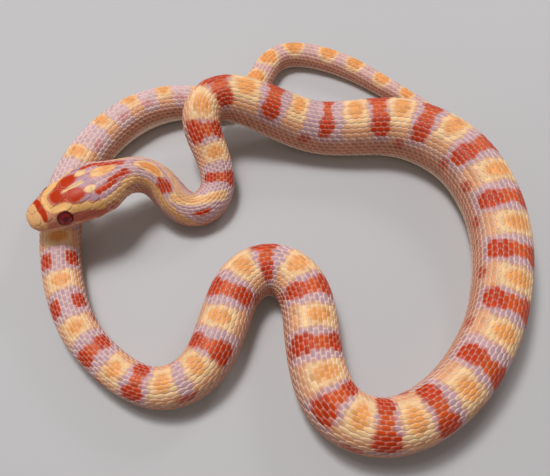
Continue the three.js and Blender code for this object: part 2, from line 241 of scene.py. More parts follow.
# The loaf section as a closed outline by share of its length from the top, radius one.
turns = np.linspace(-BELLY_EDGE_ANGLE, BELLY_EDGE_ANGLE, 481)
arc_x = np.sign(np.sin(turns)) * np.abs(np.sin(turns)) ** LOAF_POWER
arc_z = np.sign(np.cos(turns)) * np.abs(np.cos(turns)) ** LOAF_POWER
arc_z = np.maximum(arc_z, -BELLY_DEPTH)
under_x = np.linspace(arc_x[-1], arc_x[0], 61)[1:-1]
loaf_x = np.concatenate([arc_x, under_x])
loaf_z = np.concatenate([arc_z, np.full(len(under_x), -BELLY_DEPTH)])
for _ in range(60):
    loaf_x = (np.roll(loaf_x, 1) + 2 * loaf_x + np.roll(loaf_x, -1)) / 4
    loaf_z = (np.roll(loaf_z, 1) + 2 * loaf_z + np.roll(loaf_z, -1)) / 4
loaf_z = np.maximum(loaf_z, -BELLY_DEPTH + 0.002)
order = np.roll(np.arange(len(loaf_x)), -240)
loaf_x = np.append(loaf_x[order], loaf_x[order[0]])
loaf_z = np.append(loaf_z[order], loaf_z[order[0]])
loaf_reach = np.concatenate([[0], np.cumsum(np.hypot(np.diff(loaf_x), np.diff(loaf_z)))])
LOAF_PERIMETER = loaf_reach[-1]
loaf_share = loaf_reach / LOAF_PERIMETER


def body_surface(distance, u):
    """Skin point of the body: u runs from the line of the back, 0, to the belly line, 1 or -1."""
    belly, radius, _, side, up = route_at(distance)
    lean = look_up(BACK_LEAN, distance) / 360.0
    share = np.mod(u / 2 + lean, 1.0)
    inner = np.maximum(radius - COAT_DEPTH, radius * 0.7)
    x = np.interp(share, loaf_share, loaf_x) * inner
    z = np.interp(share, loaf_share, loaf_z) * inner + BELLY_DEPTH * radius
    return belly + x[..., None] * side + z[..., None] * up


# The head's own straight frame, ending where the neck begins.
def head_frame():
    back, _, _, _, _ = route_at(np.array(HEAD_LENGTH))
    nose, _, _, _, _ = route_at(np.array(0.0))
    along = unit(back - nose)
    side = unit(np.cross(np.array([0.0, 0.0, 1.0]), along))
    up = np.cross(along, side)
    return back - along * HEAD_LENGTH, along, side, up


HEAD_FRONT, HEAD_ALONG, HEAD_SIDE, HEAD_UP = head_frame()


def head_point(along, across, height):
    a = np.asarray(along, dtype=float)[..., None]
    b = np.asarray(across, dtype=float)[..., None]
    c = np.asarray(height, dtype=float)[..., None]
    return HEAD_FRONT + a * HEAD_ALONG + b * HEAD_SIDE + c * HEAD_UP


def head_section(distance):
    """Half of the head's outline at one distance: across and height from crown to chin."""
    half = float(hermite(HEAD_HALF_WIDTH, distance, np.sqrt))
    top = float(hermite(HEAD_TOP, distance, np.sqrt))
    bottom = float(hermite(HEAD_BOTTOM, distance, np.sqrt))
    middle = bottom + (top - bottom) * HEAD_MIDDLE_SHARE
    turn = np.linspace(0, math.pi, 361)
    cosine = np.cos(turn)
    across = half * np.abs(np.sin(turn)) ** HEAD_CORNER_POWER
    reach = np.where(cosine > 0, top - middle, middle - bottom)
    height = middle + reach * np.sign(cosine) * np.abs(cosine) ** HEAD_CORNER_POWER
    return across, height


def head_table(distances, shares):
    """Across and height of the head skin: share 0 at the crown, 0.5 at the lips, 1 at the chin."""
    across = np.zeros((len(distances), len(shares)))
    height = np.zeros_like(across)
    for i, distance in enumerate(distances):
        x, z = head_section(distance)
        lips = look_up(MOUTH_LINE, distance)
        low, high = z.min() + 0.08 * (z.max() - z.min()), z.max() - 0.1 * (z.max() - z.min())
        lips = min(max(lips, low), high)
        arc = np.concatenate([[0], np.cumsum(np.hypot(np.diff(x), np.diff(z)))])
        lip_arc = np.interp(-lips, -z, arc)
        place = np.where(
            shares < 0.5,
            shares * 2 * lip_arc,
            lip_arc + (shares - 0.5) * 2 * (arc[-1] - lip_arc),
        )
        across[i] = np.interp(place, arc, x)
        height[i] = np.interp(place, arc, z)
    return across, height


HEAD_ROWS = np.concatenate([
    np.linspace(0, 1.0, 41)[:-1] ** 2, np.arange(1.0, 20.05, 0.1),
])
BODY_ROWS = np.arange(20.4, BODY_LENGTH, 0.4)
TABLE_ROWS = np.concatenate([HEAD_ROWS, BODY_ROWS, [BODY_LENGTH]])
TABLE_U = np.linspace(-1, 1, 289)
EYE_ACROSS = float(look_up(HEAD_HALF_WIDTH, EYE_ALONG)) + HEAD_COAT_DEPTH - EYE_INSET


def eye_axis(hand):
    return unit(hand * HEAD_SIDE + EYE_TILT * HEAD_UP - EYE_FORWARD * HEAD_ALONG)


def build_table():
    rows, u = np.meshgrid(TABLE_ROWS, TABLE_U, indexing="ij")
    points = body_surface(rows, u)
    head_rows = TABLE_ROWS[TABLE_ROWS < BLEND_END]
    across, height = head_table(head_rows, np.abs(TABLE_U))
    d = head_rows[:, None] + 0 * across
    q = np.abs(TABLE_U)[None, :] * 2 + 0 * across
    # The lower jaw is a little shorter and narrower than the snout.
    jaw = smoothstep(1.0, 1.12, q) * (1 - smoothstep(4.0, 10.0, d))
    across = across * (1 - 0.05 * jaw)
    shift = 0.32 * jaw * (1 - smoothstep(0.5, 3.0, d))
    shift = shift + SNOUT_SET_BACK * np.maximum(0, 1 - d / SNOUT_REACH)
    # Loreal hollow, brow ridge and jaw muscle.
    def bump(at, wide, where, tall):
        return np.exp(-((d - at) / wide) ** 2 - ((q - where) / tall) ** 2)
    swell = -0.16 * bump(3.6, 1.1, 0.70, 0.16) + 0.2 * bump(5.9, 1.5, 0.44, 0.07)
    swell += 0.12 * bump(11.0, 1.8, 0.72, 0.2) - 0.05 * bump(8.6, 0.9, 0.62, 0.16)
    # The mouth groove.
    fade = smoothstep(0.02, 0.5, d) * (1 - smoothstep(11.8, 12.8, d))
    swell += -0.16 * np.exp(-((q - 1.0) / 0.022) ** 2) * fade
    sign = np.sign(TABLE_U)[None, :]
    head = head_point(d + shift, sign * across, height)
    # Push the skin out or in along its own normal.
    du = np.gradient(head, axis=1)
    dv = np.gradient(head, head_rows, axis=0)
    normal = unit(np.cross(dv, du))
    outwards = head - head_point(d, 0 * across, height * 0 + 3.2)
    flip = np.sign((normal * outwards).sum(-1, keepdims=True))
    head = head + normal * flip * swell[..., None]
    # The eye socket: skin near the eye's axis sinks behind the eyeball.
    for hand in (-1, 1):
        centre = head_point(EYE_ALONG, hand * EYE_ACROSS, EYE_HEIGHT)
        axis = eye_axis(hand)
        offset = head - centre
        depth = (offset * axis).sum(-1)
        lateral = np.linalg.norm(offset - depth[..., None] * axis, axis=-1)
        near = (lateral < 2.6) & (depth > -0.6)
        sink = 0.7 * (1 - smoothstep(EYE_OPENING - 0.3, EYE_OPENING + 0.12, lateral))
        rim = 0.09 * np.exp(-((lateral - EYE_OPENING - 0.22) / 0.16) ** 2)
        head = head + np.where(near, rim - sink, 0)[..., None] * axis
    blend = smoothstep(BLEND_START, BLEND_END, head_rows)[:, None, None]
    count = len(head_rows)
    points[:count] = head * (1 - blend) + points[:count] * blend
    return points


SURFACE = build_table()
SURFACE_ALONG = unit(np.gradient(SURFACE, TABLE_ROWS, axis=0))
SURFACE_ROUND = np.gradient(SURFACE, TABLE_U, axis=1)
ROUND_SCALE = np.linalg.norm(SURFACE_ROUND, axis=-1)
SURFACE_NORMAL = unit(np.cross(SURFACE_ALONG, SURFACE_ROUND))
SURFACE_NORMAL[0] = -HEAD_ALONG


def sample(table, distance, u):
    """Bilinear look-up in a table over distance and share round the body."""
    d = np.clip(distance, TABLE_ROWS[0], TABLE_ROWS[-1])
    i = np.clip(np.searchsorted(TABLE_ROWS, d) - 1, 0, len(TABLE_ROWS) - 2)
    fi = (d - TABLE_ROWS[i]) / (TABLE_ROWS[i + 1] - TABLE_ROWS[i])
    wrapped = np.mod(np.asarray(u) + 1, 2.0)
    at = wrapped / 2 * (len(TABLE_U) - 1)
    j = np.clip(at.astype(int), 0, len(TABLE_U) - 2)
    fj = at - j
    if table.ndim == 3:
        fi = fi[..., None]
        fj = fj[..., None]
    low = table[i, j] * (1 - fj) + table[i, j + 1] * fj
    high = table[i + 1, j] * (1 - fj) + table[i + 1, j + 1] * fj
    return low * (1 - fi) + high * fi


# Half the distance round the body in millimetres, by distance from the snout.
HALF_ROUND = ROUND_SCALE.mean(axis=1)
FLOOR_CLEARANCE = 0.004


def surface_point(distance, u, lift):
    """Point above the skin by a lift in millimetres, kept above the floor."""
    point = sample(SURFACE, distance, u)
    point = point + unit(sample(SURFACE_NORMAL, distance, u)) * np.asarray(lift)[..., None]
    point[..., 2] = np.maximum(point[..., 2], FLOOR_CLEARANCE)
    return point



def linear(red, green, blue):
    """A colour as seen on screen, 0 to 255, as the linear values that a shader takes."""
    value = np.array([red, green, blue]) / 255.0
    return np.where(value <= 0.04045, value / 12.92, ((value + 0.055) / 1.055) ** 2.4)


RED = linear(190, 50, 2)
DEEP_RED = linear(160, 36, 12)
ORANGE = linear(234, 150, 70)
CREAM = linear(243, 202, 146)
LAVENDER = linear(190, 150, 164)
PALE_LAVENDER = linear(206, 170, 180)
PEACH = linear(204, 128, 98)
TAN = linear(214, 132, 76)
TAN_CREAM = linear(226, 160, 112)
SOFT_RED = linear(210, 84, 30)
EDGE = linear(250, 222, 200)
BELLY = linear(250, 228, 204)
HEAD_GROUND = linear(212, 144, 116)
HEAD_YELLOW = linear(244, 190, 120)
STRIPE_TAN = linear(226, 166, 104)
SNOUT_CREAM = linear(234, 178, 122)
LABIAL = linear(226, 166, 136)
CHEEK = linear(194, 98, 78)

# Middles of the cream and orange blotches, and of the red saddles between them.
CREAM_MIDDLES = np.array([
    45.6, 52.8, 59.8, 69.6, 83.0, 91.3, 100.9, 111.6, 121.7, 131.6, 140.9, 151.3, 160.1,
    167.8, 176.1, 185.4, 194.3, 202.9, 212.1, 220.4, 225.9, 233.7, 243.3, 252.1, 260.2,
    268.9, 277.8, 285.6, 292.2, 298.6, 305.0, 311.3,
])
RED_MIDDLES = np.array([
    40.4, 49.4, 56.3, 64.3, 77.3, 87.3, 96.1, 106.3, 116.9, 126.7, 135.9, 146.6, 156.2,
    164.1, 171.9, 180.9, 190.2, 199.2, 207.5, 216.9, 229.8, 238.5, 247.7, 256.1,
])
TAIL_MIDDLES = np.array([
    317.8, 324.0, 330.2, 337.4, 343.4, 349.8, 355.6, 361.0, 366.0, 370.6, 374.8,
])
FLANK_SPOTS = np.array([
    [104.5, -0.44], [112.3, -0.40], [120.3, -0.46], [131.0, -0.42], [141.0, -0.44],
    [150.8, 0.42], [159.5, -0.42], [167.5, 0.44], [180.3, 0.40], [190.5, 0.44],
    [206.3, 0.42], [214.0, -0.42], [235.0, 0.42], [244.0, -0.42], [264.5, -0.38],
    [223.4, 0.34], [223.4, -0.37], [73.0, -0.42], [82.0, 0.42], [92.0, -0.44],
    [100.9, 0.44], [281.0, -0.26],
    [289.0, -0.24], [294.8, -0.26], [301.8, -0.24], [308.0, 0.26], [272.5, 0.30],
])
LAST_SADDLE = 262.0


def nearest_gap(distance, middles):
    """Signed distance to the nearest middle."""
    i = np.clip(np.searchsorted(middles, distance), 1, len(middles) - 1)
    low, high = distance - middles[i - 1], distance - middles[i]
    return np.where(np.abs(low) < np.abs(high), low, high)


def mix(tint, other, share):
    return tint * (1 - share[..., None]) + other * share[..., None]


def inside(value, edge=0.12):
    """One where a value is under one, with a soft edge."""
    return 1 - smoothstep(1 - edge, 1 + edge, value)


def oval(x, y, centre, halves):
    """One on the rim of an ellipse and less inside it."""
    return ((x - centre[0]) / halves[0]) ** 2 + ((y - centre[1]) / halves[1]) ** 2


def line_gap(x, y, points):
    """Distance from points to a polyline, in the units of x and y."""
    best = np.full(np.shape(x), 1e9)
    for (ax, ay), (bx, by) in zip(points[:-1], points[1:]):
        dx, dy = bx - ax, by - ay
        share = np.clip(((x - ax) * dx + (y - ay) * dy) / (dx * dx + dy * dy), 0, 1)
        best = np.minimum(best, np.hypot(x - ax - share * dx, y - ay - share * dy))
    return best


def wobble(distance, u):
    """A smooth uneven offset, to keep outlines from looking ruled."""
    return (np.sin(distance * 1.7 + u * 9) + np.sin(distance * 0.83 - u * 23 + 1.3)) * 0.5


def body_tint(s, u):
    """Colour of the neck, trunk and tail at distances from the snout and shares round."""
    size = np.interp(s, [40, 60, 100, 230, 320, 378], [0.8, 1, 1.1, 0.85, 0.75, 0.4])
    q = np.abs(u + 0.012 * wobble(s, u))
    # The back is lavender between the blotches, and the flanks are peach.
    back = 1 - smoothstep(0.36, 0.47, q)
    tint = mix(PEACH, mix(LAVENDER, PALE_LAVENDER, smoothstep(255, 275, s)), back)
    # Cream blotches with orange middles.
    gap = nearest_gap(s, CREAM_MIDDLES) / size
    length = np.where(s < LAST_SADDLE, 2.05, 1.75) + 0.25 * wobble(s * 1.3, u)
    on_body = smoothstep(43.0, 43.6, s) * (1 - smoothstep(314.0, 315.0, s))
    cream = inside(np.abs(gap) / length) * (1 - smoothstep(0.2, 0.31, q)) * on_body
    tint = mix(tint, CREAM, cream)
    under_cream = inside(np.abs(gap) / (length + 0.3), 0.2) * smoothstep(0.18, 0.28, q) * on_body
    tint = mix(tint, TAN_CREAM, under_cream * (1 - smoothstep(0.3, 0.5, q)))
    outline = inside(np.abs(np.abs(gap) - length) / 0.16, 0.5) * (1 - smoothstep(0.28, 0.38, q))
    tint = mix(tint, TAN, outline * 0.55 * on_body)
    orange = inside((gap / 1.35) ** 2 + (q / 0.16) ** 2, 0.6) * on_body
    tint = mix(tint, ORANGE, orange * 0.9)
    # Red saddles, narrower over the spine.
    gap = nearest_gap(s, RED_MIDDLES) / size
    reach = 1.2 + 0.55 * smoothstep(0.05, 0.19, q) - 0.5 * smoothstep(0.28, 0.36, q)
    reach = reach + 0.22 * wobble(s * 1.9, u * 1.6)
    saddle = inside(np.abs(gap) / reach) * inside(q / 0.36, 0.06)
    # Further back the two halves of a saddle draw apart.
    saddle = saddle * np.maximum(smoothstep(0.09, 0.13, q), 1 - smoothstep(242, 244, s))
    saddle = saddle * smoothstep(38.0, 38.4, s) * (1 - smoothstep(LAST_SADDLE - 2, LAST_SADDLE, s))
    tint = mix(tint, mix(SOFT_RED, RED, smoothstep(0.02, 0.17, q)), saddle)
    # Small red spots low on the flanks.
    for at, where in FLANK_SPOTS:
        faint = 0.45 if at > LAST_SADDLE else 0.8
        spot = inside(oval(s, u, (at, where), (1.25, 0.07)), 0.3)
        tint = mix(tint, RED, spot * faint)
    # The tail has orange spots on a pale ground.
    on_tail = smoothstep(313.5, 315.5, s)
    tint = mix(tint, mix(PALE_LAVENDER, PEACH, 0.35 + smoothstep(0.2, 0.45, q) * 0.6), on_tail)
    gap = nearest_gap(s, TAIL_MIDDLES)
    length = np.interp(s, [316, 345, 378], [1.9, 1.6, 0.8])
    tint = mix(tint, CREAM, inside((gap / (length * 1.25)) ** 2 + (q / 0.36) ** 2, 0.3) * on_tail)
    tint = mix(tint, ORANGE, inside((gap / length) ** 2 + (q / 0.24) ** 2, 0.3) * on_tail)
    # The belly is pale.
    return mix(tint, BELLY, smoothstep(0.58, 0.76, q))


def neck_tint(s, u, tint):
    """The marks of the neck, laid over its ground colour."""
    wide = np.interp(s, TABLE_ROWS, HALF_ROUND)
    y = u * wide
    marked = s < 43.5
    ground = mix(LAVENDER, PEACH, smoothstep(0.28, 0.46, np.abs(u)))
    ground = mix(ground, BELLY, smoothstep(0.58, 0.76, np.abs(u)))
    tint = np.where((s < 38.6)[..., None], ground, tint)
    # A long oval behind the head, rimmed in red.
    nape = oval(s, u, (20.6, 0.025), (2.05, 0.12))
    tint = mix(tint, DEEP_RED, inside(nape / 1.35, 0.1) * 0.55 * marked)
    tint = mix(tint, CREAM, inside(nape, 0.12))
    tint = mix(tint, ORANGE, inside(nape / 0.6, 0.3))
    # Red marks between it and the long cream band.
    for at, where, half, across in ((23.2, -0.08, 1.5, 0.09), (24.3, 0.04, 1.2, 0.075),
                                    (22.6, -0.17, 0.8, 0.05), (32.7, -0.13, 1.5, 0.06)):
        spot = inside(oval(s, u, (at, where), (half, across)), 0.3)
        tint = mix(tint, RED, spot)
    band = line_gap(s, y, [(26.6, 0.3), (29.2, 1.3), (33.4, 1.0), (35.8, 0.2), (37.0, -1.1)])
    tint = mix(tint, CREAM, inside(band / 0.95, 0.15) * marked)
    tint = mix(tint, ORANGE, inside(band / 0.5, 0.4) * 0.6 * marked)
    # The pale yellow stripe that runs on from the temple, on both sides.
    for hand in (-1, 1):
        route = [(17.5, 0.27), (20.0, 0.30), (22.0, 0.28), (25.2, 0.20), (27.6, 0.17),
                 (29.2, 0.22), (31.0, 0.33)]
        stripe = line_gap(s, hand * y, [(a, b * 9.4) for a, b in route])
        share = inside(stripe / 0.75, 0.25) * (1 if hand < 0 else 0.8)
        tint = mix(tint, STRIPE_TAN, share)
    return tint


def head_tint(s, u):
    """Colour of the head, the same on both sides but for the spear on its nape."""
    q = np.abs(u)
    wide = np.interp(s, [0, 3, 6, 10, 14, 18], [5.5, 9.9, 12.9, 15.1, 13.4, 9.6])
    y = q * wide
    tint = mix(HEAD_GROUND, LAVENDER, smoothstep(7.0, 10.5, s) * (1 - smoothstep(0.28, 0.40, q)))
    tint = mix(tint, SNOUT_CREAM, (1 - smoothstep(2.2, 2.8, s)) * (1 - smoothstep(0.36, 0.46, q)))
    tint = mix(tint, SNOUT_CREAM, inside(oval(s, y, (4.0, 0), (0.9, 1.9)), 0.3) * 0.5)
    # Lips and chin.
    tint = mix(tint, LABIAL, smoothstep(0.39, 0.44, q))
    tint = mix(tint, BELLY, smoothstep(0.56, 0.66, q))
    # The red band over the snout.
    snout = line_gap(s, y, [(2.95, 0), (3.1, 1.2), (2.85, 2.2)])
    tint = mix(tint, RED, inside(snout / (0.62 - 0.08 * y), 0.18) * (q < 0.3))
    # Red over the frontal and parietal plates, split by a pale streak.
    front = inside(oval(s, y, (6.1, 0), (1.0, 1.25)), 0.2)
    rear = inside(((s - 8.4) / 2.15) ** 2 + ((y - 1.45 - 0.12 * (s - 8.4)) / 1.15) ** 2, 0.15)
    front_rim = inside(oval(s, y, (6.1, 0), (1.2, 1.42)), 0.1)
    rear_rim = inside(((s - 8.4) / 2.35) ** 2 + ((y - 1.45 - 0.12 * (s - 8.4)) / 1.35) ** 2, 0.1)
    tint = mix(tint, CHEEK, np.maximum(front_rim, rear_rim) * 0.6)
    tint = mix(tint, RED, np.maximum(front, rear))
    streak = inside(np.abs(y) / (0.12 + 0.10 * np.clip(s - 7.2, 0, 2)), 0.4)
    streak = streak * smoothstep(6.9, 7.6, s) * (1 - smoothstep(10.6, 11.4, s))
    tint = mix(tint, CREAM, streak)
    # Cream dabs behind, and the yellow spear round a lavender middle.
    dab = inside(oval(s, y, (11.3, 1.75), (0.95, 0.62)), 0.25)
    outline = inside(oval(s, y, (11.3, 1.75), (1.15, 0.82)), 0.12)
    tint = mix(tint, CHEEK, outline * 0.7)
    tint = mix(tint, CREAM, dab)
    halo_half = np.interp(s, [12.3, 13.6, 14.8, 16.9], [0.55, 1.2, 1.3, 0.3])
    halo = inside(np.abs(u * wide - 0.45) / halo_half, 0.12) * smoothstep(12.1, 12.3, s)
    tint = mix(tint, CHEEK, halo * (1 - smoothstep(16.6, 16.9, s)) * 0.6)
    spear_half = np.interp(s, [12.6, 13.6, 14.8, 16.6], [0.35, 0.95, 1.05, 0.1])
    spear = inside(np.abs(u * wide - 0.45) / spear_half, 0.2) * smoothstep(12.4, 12.7, s)
    spear = spear * (1 - smoothstep(16.3, 16.6, s))
    tint = mix(tint, HEAD_YELLOW, spear)
    tint = mix(tint, ORANGE, inside(oval(s, u * wide, (15.0, 0.5), (1.1, 0.7)), 0.4) * 0.7)
    # Red streaks on the temples.
    temple = line_gap(s, y, [(12.3, 2.75), (14.0, 2.5), (15.6, 1.75), (17.3, 1.05)])
    tint = mix(tint, RED, inside(temple / 0.58, 0.2))
    # The yellow line from the snout over the eye, past the temple and on to the neck.
    bridge = [(4.15, 0), (4.2, 0.75), (4.7, 1.75), (5.6, 2.05), (6.6, 2.3), (7.4, 3.25),
              (8.7, 3.75), (9.9, 4.15), (11.7, 4.8), (13.2, 4.85), (14.6, 4.55),
              (15.6, 4.05), (16.6, 3.3), (17.8, 2.5), (19.0, 2.3)]
    line = line_gap(s, y, bridge)
    half = np.interp(s, [4, 7, 12, 18], [0.5, 0.58, 0.7, 0.68])
    tint = mix(tint, CHEEK, inside(line / (half + 0.22), 0.12) * 0.6)
    tint = mix(tint, HEAD_YELLOW, inside(line / half, 0.12))
    # The pink-red band behind the eye, to the corner of the mouth.
    band = line_gap(s, y, [(6.6, 4.55), (8.2, 5.3), (10.0, 5.9), (12.0, 6.35), (13.6, 6.0)])
    tint = mix(tint, CHEEK, inside(band / 0.85, 0.3) * 0.9)
    tint = mix(tint, CHEEK, inside(line_gap(s, y, [(3.2, 3.6), (4.6, 4.3)]) / 0.5, 0.4) * 0.45)
    return tint


def marking(s, u):
    """Colour of the animal anywhere on its skin."""
    s, u = np.broadcast_arrays(np.asarray(s, float), np.asarray(u, float))
    u = np.mod(u + 1, 2) - 1
    body = neck_tint(s, u, body_tint(s, u))
    head = head_tint(s, u)
    share = smoothstep(17.3, 18.3, s)
    return mix(head, body, share)


# Unwrap of the skin for baking: strips along the body, one over another.
STRIPS = 8
STRIP_LENGTH = BODY_LENGTH / STRIPS
PATCH = 0.0028


def unwrap(distance, u, strip):
    across = np.mod(np.asarray(u) + 1, 2) / 2
    return np.stack([
        0.01 + 0.98 * (distance - strip * STRIP_LENGTH) / STRIP_LENGTH,
        (strip + 0.04 + 0.92 * across) / STRIPS,
    ], axis=-1)


def strip_of(distance):
    return np.clip((np.asarray(distance) / STRIP_LENGTH).astype(int), 0, STRIPS - 1)


def build_mesh(name, points, quads, tints, corner_uv, material):
    """A Blender object from arrays; points are in millimetres."""
    mesh = bpy.data.meshes.new(name)
    mesh.vertices.add(len(points))
    mesh.vertices.foreach_set("co", (points * MM).astype(np.float32).ravel())
    mesh.loops.add(quads.size)
    mesh.loops.foreach_set("vertex_index", quads.astype(np.int32).ravel())
    mesh.polygons.add(len(quads))
    mesh.polygons.foreach_set("loop_start", np.arange(0, quads.size, quads.shape[1], dtype=np.int32))
    mesh.polygons.foreach_set("use_smooth", np.ones(len(quads), dtype=bool))
    mesh.update(calc_edges=True)
    layer = mesh.uv_layers.new(name="OFBake")
    layer.data.foreach_set("uv", corner_uv.astype(np.float32).ravel())
    colours = mesh.color_attributes.new(name="Tint", type="FLOAT_COLOR", domain="POINT")
    rgba = np.concatenate([tints, np.ones((len(tints), 1))], axis=1)
    colours.data.foreach_set("color", rgba.astype(np.float32).ravel())
    mesh.materials.append(material)
    thing = bpy.data.objects.new(name, mesh)
    bpy.context.collection.objects.link(thing)
    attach(thing, "root")
    return thing


def grid_quads(rows, columns):
    """Quads of a grid of points numbered row by row, seen from outside."""
    corner = (np.arange(rows - 1)[:, None] * columns + np.arange(columns - 1)[None, :]).ravel()
    return np.stack([corner, corner + columns, corner + columns + 1, corner + 1], axis=1)


# One scale's own grid: along from root, -1, to tip, 1, and across; the rim is tucked in.
SCALE_ALONG = np.array([-1.0, -0.8, -0.45, 0.0, 0.45, 0.8, 0.97, 1.0])
SCALE_ACROSS = np.array([-1.0, -0.9, -0.5, 0.0, 0.5, 0.9, 1.0])
SCALE_OVERLAP = 1.3
SCALE_BREADTH = 1.16
SCALE_LIFT = 0.085
SCALE_DOME = 0.035
SCALE_TUCK = -0.06


def scale_patches(name, root, u_root, length, breadth, material, lift=1.0, keel=0.0):
    """Many overlapping scales as one mesh, each with a rounded tip and a pale rim."""
    count = len(root)
    a, b = np.meshgrid(SCALE_ALONG, SCALE_ACROSS, indexing="ij")
    outline = np.maximum(1 - np.abs(a) ** 2.3, 0.0) ** 0.62
    outline = np.maximum(outline, 0.16)
    rise = smoothstep(-1.0, 0.9, a)
    rim = (np.abs(b) > 0.95) | (a > 0.99)
    height = SCALE_LIFT * rise * (1 - 0.35 * b * b) + SCALE_DOME * (1 - b * b) * (1 - a * a)
    height = height + keel * np.exp(-(b / 0.25) ** 2) * rise
    height = np.where(rim | (a < -0.99), SCALE_TUCK, height)
    s = root[:, None, None] + a * length[:, None, None] / 2
    u = u_root[:, None, None] + b * outline * breadth[:, None, None] / 2
    lift = np.broadcast_to(lift, (count,))[:, None, None]
    points = surface_point(s, u, height * lift)
    centre = marking(root, u_root)
    shade = 1 + 0.07 * RANDOM.standard_normal((count, 1))
    centre = np.clip(centre * shade, 0, 1)
    tone = marking(s, u) * shade[:, :, None, None] * 0.75 + centre[:, None, None, :] * 0.25
    low = smoothstep(0.3, 0.4, np.abs(u_root)) * (1 - smoothstep(0.66, 0.74, np.abs(u_root)))
    low = low[:, None, None, None]
    tone = np.clip(tone * (1 - 0.14 * low), 0, 1)
    whiter = (0.18 + 1.5 * tone[..., 2:3]).clip(0.18, 0.75) + 0.15 * low
    paler = tone + (EDGE - tone) * whiter
    edge = np.clip((np.abs(b) - 0.45) / 0.45, 0, 1) ** 1.5
    edge = np.maximum(edge, smoothstep(0.45, 0.95, a) * 0.8)[None, :, :, None]
    tints = tone * (1 - edge) + paler * edge
    template = grid_quads(len(SCALE_ALONG), len(SCALE_ACROSS))
    size = a.size
    quads = (template[None] + np.arange(count)[:, None, None] * size).reshape(-1, 4)
    uv = unwrap(root, u_root, strip_of(root))[:, None, None, :]
    patch = np.stack([a, b], axis=-1) * PATCH / 2
    uv = (uv + patch[None]).reshape(-1, 2)
    return build_mesh(name, points.reshape(-1, 3), quads, tints.reshape(-1, 3), uv[quads.ravel()], material)


# Rows of scales across the back, by distance from the snout, and their spacing along.
SCALE_ROWS = np.array([
    [10, 23], [20, 23], [45, 23], [60, 25], [95, 27], [160, 27], [200, 25], [225, 23],
    [245, 23], [280, 21], [305, 19], [316, 17], [325, 15], [338, 13], [350, 11], [362, 9],
    [372, 7], [379, 6],
])
SCALE_SPACING = np.array([
    [10, 0.92], [20, 1.02], [45, 1.12], [70, 1.3], [100, 1.38], [160, 1.32], [220, 1.22],
    [290, 1.2], [315, 1.1], [340, 0.98], [360, 0.8], [379, 0.55],
])
VENTRAL_EDGE = 0.74
MID_BACK = 0.37
VENT_AT = 315.0
FINE_STEP = 0.05


def scale_places():
    """Root distance, share round, length and breadth of every scale of back and flanks."""
    fine = np.arange(10.0, BODY_LENGTH - 1.0, FINE_STEP)
    pace = np.concatenate([[0], np.cumsum(FINE_STEP / look_up(SCALE_SPACING, fine))])[:-1]
    found = []
    for row in range(-14, 15):
        beats = np.arange(0, pace[-1]) + (0.5 if row % 2 else 0.0)
        s = np.interp(beats, pace, fine)
        step = 2 * VENTRAL_EDGE / look_up(SCALE_ROWS, s)
        u = row * step
        first = np.interp(np.abs(u), [0, 0.2, 0.4, 0.5, 0.74], [11.9, 11.7, 12.3, 13.2, 13.6])
        keep = (s > first) & (np.abs(u) < VENTRAL_EDGE - 0.3 * step)
        spacing = look_up(SCALE_SPACING, s)
        found.append(np.stack([s, u, spacing * SCALE_OVERLAP, step * SCALE_BREADTH], axis=1)[keep])
    return np.concatenate(found)


def dorsal_scales(material):
    places = scale_places()
    bands = (
        ("scales_back_right", (places[:, 1] >= 0) & (places[:, 1] < MID_BACK)),
        ("scales_back_left", (places[:, 1] < 0) & (places[:, 1] > -MID_BACK)),
        ("scales_flank_right", places[:, 1] >= MID_BACK),
        ("scales_flank_left", places[:, 1] <= -MID_BACK),
    )
    for name, chosen in bands:
        s, u, length, breadth = places[chosen].T
        jitter = 1 + 0.04 * RANDOM.standard_normal(len(s))
        lift = np.interp(s, [12, 60, 330, 379], [0.8, 1.15, 0.9, 0.45])
        piece = scale_patches(name, s, u, length * jitter, breadth, material, lift, keel=0.012)


def belly_scutes(material):
    """One wide scute to a row under the trunk, and pairs under the tail."""
    fine = np.arange(15.0, BODY_LENGTH - 1.5, FINE_STEP)
    pace = np.cumsum(FINE_STEP / look_up(SCALE_SPACING, fine))
    roots = np.interp(np.arange(1, int(pace[-1])), pace, fine)
    across = np.linspace(-1, 1, 17)
    along = np.array([-1.0, -0.85, -0.3, 0.3, 0.8, 0.97, 1.0])
    a, b = np.meshgrid(along, across, indexing="ij")
    rim = (np.abs(b) > 0.99) | (np.abs(a) > 0.99)
    rise = smoothstep(-1.0, 0.9, a)
    parts = []
    for s in roots:
        spacing = float(look_up(SCALE_SPACING, s))
        whole = 2 * (1 - VENTRAL_EDGE) + 0.05
        halves = ((0.0, whole),) if s < VENT_AT + 1.5 else ((-whole / 4, whole / 2), (whole / 4, whole / 2))
        for shift, breadth in halves:
            bow = 0.22 * spacing * (1 - b * b)
            points = surface_point(
                s + a * spacing * 0.66 + bow, 1 + shift + b * breadth / 2,
                np.where(rim, SCALE_TUCK, 0.02 + 0.07 * rise),
            )
            tone = marking(s + 0 * a, 1 + shift + b * breadth / 2 * 0.9)
            tone = mix(tone, EDGE, smoothstep(0.5, 0.95, a) * 0.6)
            uv = unwrap(np.array(s), np.array(1 + shift), strip_of(s)) + np.stack([a, b], axis=-1) * PATCH / 2
            parts.append((points, tone, uv))
    size = a.size
    template = grid_quads(len(along), len(across))
    quads = (template[None] + np.arange(len(parts))[:, None, None] * size).reshape(-1, 4)
    points = np.concatenate([part[0].reshape(-1, 3) for part in parts])
    tones = np.concatenate([part[1].reshape(-1, 3) for part in parts])
    uv = np.concatenate([part[2].reshape(-1, 2) for part in parts])
    piece = build_mesh("scutes_belly", points, quads, tones, uv[quads.ravel()], material)


